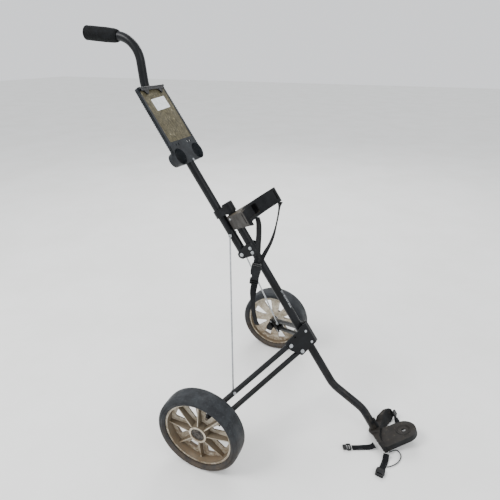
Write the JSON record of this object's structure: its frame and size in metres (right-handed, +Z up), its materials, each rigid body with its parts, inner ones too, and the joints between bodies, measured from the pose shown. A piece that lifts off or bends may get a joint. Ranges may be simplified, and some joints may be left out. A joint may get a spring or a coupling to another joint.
{
  "type": "golf pull cart",
  "caption": "Two-wheel folding pull cart for a golf bag, with a bent tube frame, bag saddles, a score-card console, lift rods and webbing straps.",
  "frame": {"origin": "on the ground, at the middle of the cart's length and width", "axes": "+Z up, +X from the wheels towards the bag ledge, -Y the near side"},
  "size_m": [1.0731, 0.6952, 1.1833],
  "materials": {
    "painted_steel": "satin",
    "cast_plastic": "matte",
    "black_plastic": "satin",
    "saddle_plastic": "dusty matte",
    "console_plastic": "satin",
    "card_card": "worn matte",
    "zinc_steel": "zinc plated",
    "rim_plastic": "dusty matte",
    "tyre_rubber": "scuffed matte",
    "cap_plastic": "dusty",
    "bush_nylon": "matte",
    "grip_foam": "matte",
    "webbing": "woven",
    "buckle_plastic": "semi gloss"
  },
  "bodies": {
    "root": {"main_tube": "painted_steel", "tube_cap": "black_plastic", "hinge_plate_near": "painted_steel", "hinge_plate_far": "painted_steel", "hinge_rivets": "zinc_steel", "handle_pivot_pin": "zinc_steel", "upper_cradle": "saddle_plastic", "cradle_screws": "zinc_steel", "leg_bracket_outer": "painted_steel", "leg_bracket_inner": "painted_steel", "leg_bracket_screws": "zinc_steel", "leg_bolts_near": "zinc_steel", "leg_bolts_far": "zinc_steel", "lower_bracket": "saddle_plastic", "lower_bracket_screws": "zinc_steel", "foot_plug": "black_plastic", "upper_strap_near": "webbing", "upper_strap_far": "webbing", "upper_buckle_socket": "buckle_plastic", "upper_buckle_plug": "buckle_plastic", "lower_strap_rear": "webbing", "lower_buckle_plug": "buckle_plastic", "lower_strap_front": "webbing", "lower_buckle_socket": "buckle_plastic", "wing_strap": "webbing", "cam_buckle": "buckle_plastic", "strap_loop": "webbing"},
    "handle": {"handle_tube": "painted_steel", "grip": "grip_foam", "grip_cap": "black_plastic", "handle_band": "black_plastic", "rod_pin": "zinc_steel", "console": "console_plastic", "console_clamps": "black_plastic", "console_screws": "zinc_steel", "card_plate": "card_card"},
    "score_clip": {"score_clip": "black_plastic"},
    "upper_leg_near": {"upper_leg_near": "painted_steel", "rod_rivet_near": "zinc_steel"},
    "lower_leg_near": {"lower_leg_near": "painted_steel"},
    "hub_near": {"hub_bracket_near": "cast_plastic", "hub_bolts_near": "zinc_steel", "axle_near": "zinc_steel"},
    "wheel_near": {"rim_near": "rim_plastic", "tyre_near": "tyre_rubber", "hub_cap_near": "cap_plastic", "wheel_bushes_near": "bush_nylon"},
    "rod_near": {"rod_near": "zinc_steel"},
    "upper_leg_far": {"upper_leg_far": "painted_steel", "rod_rivet_far": "zinc_steel"},
    "lower_leg_far": {"lower_leg_far": "painted_steel"},
    "hub_far": {"hub_bracket_far": "cast_plastic", "hub_bolts_far": "zinc_steel", "axle_far": "zinc_steel"},
    "wheel_far": {"rim_far": "rim_plastic", "tyre_far": "tyre_rubber", "hub_cap_far": "cap_plastic", "wheel_bushes_far": "bush_nylon"},
    "rod_far": {"rod_far": "zinc_steel"}
  },
  "joints": [
    {"name": "handle_fold", "type": "hinge", "parent": "root", "child": "handle", "pos_m": [-0.04337, 0, 0.54893], "axis": [0, -1, 0], "range_deg": [0, 150]},
    {"name": "upper_leg_near", "type": "hinge", "parent": "root", "child": "upper_leg_near", "pos_m": [0.13065, -0.05197, 0.29111], "axis": [0.593, -0.7071, 0.3851], "range_deg": [0, 65]},
    {"name": "lower_leg_near", "type": "hinge", "parent": "root", "child": "lower_leg_near", "pos_m": [0.16276, -0.03642, 0.27023], "axis": [0.593, -0.7071, 0.3851], "range_deg": [0, 65]},
    {"name": "hub_level_near", "type": "hinge", "parent": "upper_leg_near", "child": "hub_near", "pos_m": [-0.03184, -0.26324, 0.15342], "axis": [0.593, -0.7071, 0.3851], "range_deg": [-65, 0]},
    {"name": "wheel_spin_near", "type": "hinge", "parent": "hub_near", "child": "wheel_near", "pos_m": [-0.04223, -0.31584, 0.127], "axis": [0, 1, 0], "continuous": true},
    {"name": "rod_swing_near", "type": "hinge", "parent": "upper_leg_near", "child": "rod_near", "pos_m": [0.00578, -0.19807, 0.18659], "axis": [-0.6557, 0.6355, -0.4076], "range_deg": [0, 43]},
    {"name": "upper_leg_far", "type": "hinge", "parent": "root", "child": "upper_leg_far", "pos_m": [0.13065, 0.05197, 0.29111], "axis": [-0.593, -0.7071, -0.3851], "range_deg": [0, 65]},
    {"name": "lower_leg_far", "type": "hinge", "parent": "root", "child": "lower_leg_far", "pos_m": [0.16276, 0.03642, 0.27023], "axis": [-0.593, -0.7071, -0.3851], "range_deg": [0, 65]},
    {"name": "hub_level_far", "type": "hinge", "parent": "upper_leg_far", "child": "hub_far", "pos_m": [-0.03184, 0.26324, 0.15342], "axis": [-0.593, -0.7071, -0.3851], "range_deg": [-65, 0]},
    {"name": "wheel_spin_far", "type": "hinge", "parent": "hub_far", "child": "wheel_far", "pos_m": [-0.04223, 0.31584, 0.127], "axis": [0, 1, 0], "continuous": true},
    {"name": "rod_swing_far", "type": "hinge", "parent": "upper_leg_far", "child": "rod_far", "pos_m": [0.00578, 0.19807, 0.18659], "axis": [0.6557, 0.6355, 0.4076], "range_deg": [0, 43]},
    {"name": "score_clip_open", "type": "hinge", "parent": "handle", "child": "score_clip", "pos_m": [-0.32833, 0, 1.02206], "axis": [0, -1, 0], "range_deg": [0, 25], "stiffness_Nm_per_rad": 0.05, "springref_deg": -20.05}
  ],
  "couplings": [
    {"joint": "upper_leg_near", "follows": "handle_fold", "ratio": 0.4302},
    {"joint": "lower_leg_near", "follows": "handle_fold", "ratio": 0.4302},
    {"joint": "hub_level_near", "follows": "handle_fold", "ratio": -0.4302},
    {"joint": "rod_swing_near", "follows": "handle_fold", "ratio": 0.28447},
    {"joint": "upper_leg_far", "follows": "handle_fold", "ratio": 0.4302},
    {"joint": "lower_leg_far", "follows": "handle_fold", "ratio": 0.4302},
    {"joint": "hub_level_far", "follows": "handle_fold", "ratio": -0.4302},
    {"joint": "rod_swing_far", "follows": "handle_fold", "ratio": 0.28447}
  ]
}
